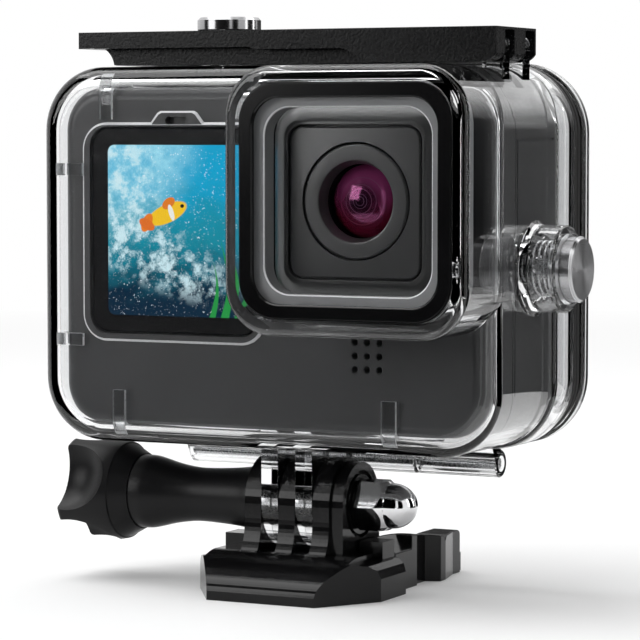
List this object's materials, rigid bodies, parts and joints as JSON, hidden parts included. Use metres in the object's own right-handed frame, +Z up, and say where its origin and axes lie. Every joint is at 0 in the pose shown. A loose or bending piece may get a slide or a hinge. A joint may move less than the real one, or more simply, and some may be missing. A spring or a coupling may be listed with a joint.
{
  "type": "action camera in dive housing",
  "caption": "Small action camera inside a clear waterproof housing with a square stepped lens port, press-through buttons, top latch and hinged rear door, on a tilting quick-release buckle.",
  "frame": {"origin": "on the buckle's underside, below the middle of the clamp bolt, which runs along X at 14.8 mm up", "axes": "+Z up, -Y the way the lens looks, +X to the viewer's right when looking at the lens"},
  "size_m": [0.0915, 0.0594, 0.0944],
  "materials": {
    "clear": "clear polished polycarbonate",
    "black": "moulded satin black nylon",
    "body_grey": "soft-touch charcoal",
    "gloss_black": "gloss black",
    "rubber": "matt black silicone",
    "steel": "satin stainless",
    "chrome": "polished",
    "dark_grey": "dark grey with a brushed sheen",
    "clear_window": "flat coated glass",
    "display": "lit colour display",
    "coated_lens": "magenta-coated optical glass",
    "board": "green circuit board",
    "battery": "grey battery sleeve"
  },
  "bodies": {
    "base": {"buckle_body": "black", "acorn_nut": "chrome"},
    "left_arm": {"release_arm_left": "black"},
    "right_arm": {"release_arm_right": "black"},
    "thumbscrew": {"thumb_knob": "black", "clamp_bolt": "steel"},
    "housing": {"front_shell": "clear", "port_ring": "black", "port_window": "clear_window", "port_bezel": "dark_grey", "door_pin": "steel", "latch_pin": "steel", "shutter_spring": "steel", "shutter_seal": "rubber", "mode_spring": "steel", "mode_seal": "rubber", "camera_front_cover": "body_grey", "camera_rear_case": "body_grey", "lens_cover": "gloss_black", "lens_plate": "dark_grey", "lens_ring": "dark_grey", "lens_barrel": "black", "lens_front_glass": "coated_lens", "lens_rear_glass": "coated_lens", "image_sensor": "board", "front_screen": "gloss_black", "front_display": "display", "rear_screen": "gloss_black", "battery": "battery", "battery_door": "body_grey", "main_board": "board"},
    "door": {"rear_door": "clear", "door_gasket": "rubber"},
    "latch": {"latch_lever": "black"},
    "shutter_plunger": {"shutter_cap": "steel", "shutter_stem": "steel", "shutter_clip": "steel"},
    "mode_plunger": {"mode_cap": "steel", "mode_stem": "steel", "mode_clip": "steel"},
    "camera_shutter": {"camera_shutter_button": "black"},
    "camera_mode": {"camera_mode_button": "black"}
  },
  "joints": [
    {"name": "left_arm_pinch", "type": "hinge", "parent": "base", "child": "left_arm", "pos_m": [-0.0124, 0.0044, 0.0045], "axis": [0, 0, -1], "range_deg": [0, 6], "stiffness_Nm_per_rad": 1.3},
    {"name": "right_arm_pinch", "type": "hinge", "parent": "base", "child": "right_arm", "pos_m": [0.0124, 0.0044, 0.0045], "axis": [0, 0, 1], "range_deg": [0, 6], "stiffness_Nm_per_rad": 1.3},
    {"name": "thumbscrew_turn", "type": "hinge", "parent": "base", "child": "thumbscrew", "pos_m": [0, 0, 0.0148], "axis": [1, 0, 0], "continuous": true},
    {"name": "housing_tilt", "type": "hinge", "parent": "base", "child": "housing", "pos_m": [0, 0, 0.0148], "axis": [1, 0, 0], "range_deg": [-10, 45]},
    {"name": "door_swing", "type": "hinge", "parent": "housing", "child": "door", "pos_m": [0, 0.017, 0.0206], "axis": [-1, 0, 0], "range_deg": [0, 90]},
    {"name": "latch_lift", "type": "hinge", "parent": "housing", "child": "latch", "pos_m": [0.0365, 0, 0.0894], "axis": [0, 1, 0], "range_deg": [0, 90]},
    {"name": "shutter_press", "type": "slide", "parent": "housing", "child": "shutter_plunger", "axis": [0, 0, -1], "range_m": [0, 0.001], "stiffness_N_per_m": 1500, "deforming": ["shutter_spring"]},
    {"name": "mode_press", "type": "slide", "parent": "housing", "child": "mode_plunger", "axis": [-1, 0, 0], "range_m": [0, 0.001], "stiffness_N_per_m": 1500, "deforming": ["mode_spring"]},
    {"name": "camera_shutter_press", "type": "slide", "parent": "housing", "child": "camera_shutter", "axis": [0, 0, -1], "range_m": [0, 0.001]},
    {"name": "camera_mode_press", "type": "slide", "parent": "housing", "child": "camera_mode", "axis": [-1, 0, 0], "range_m": [0, 0.001]}
  ],
  "couplings": [
    {"joint": "camera_shutter_press", "follows": "shutter_press", "ratio": 1},
    {"joint": "camera_mode_press", "follows": "mode_press", "ratio": 1}
  ]
}
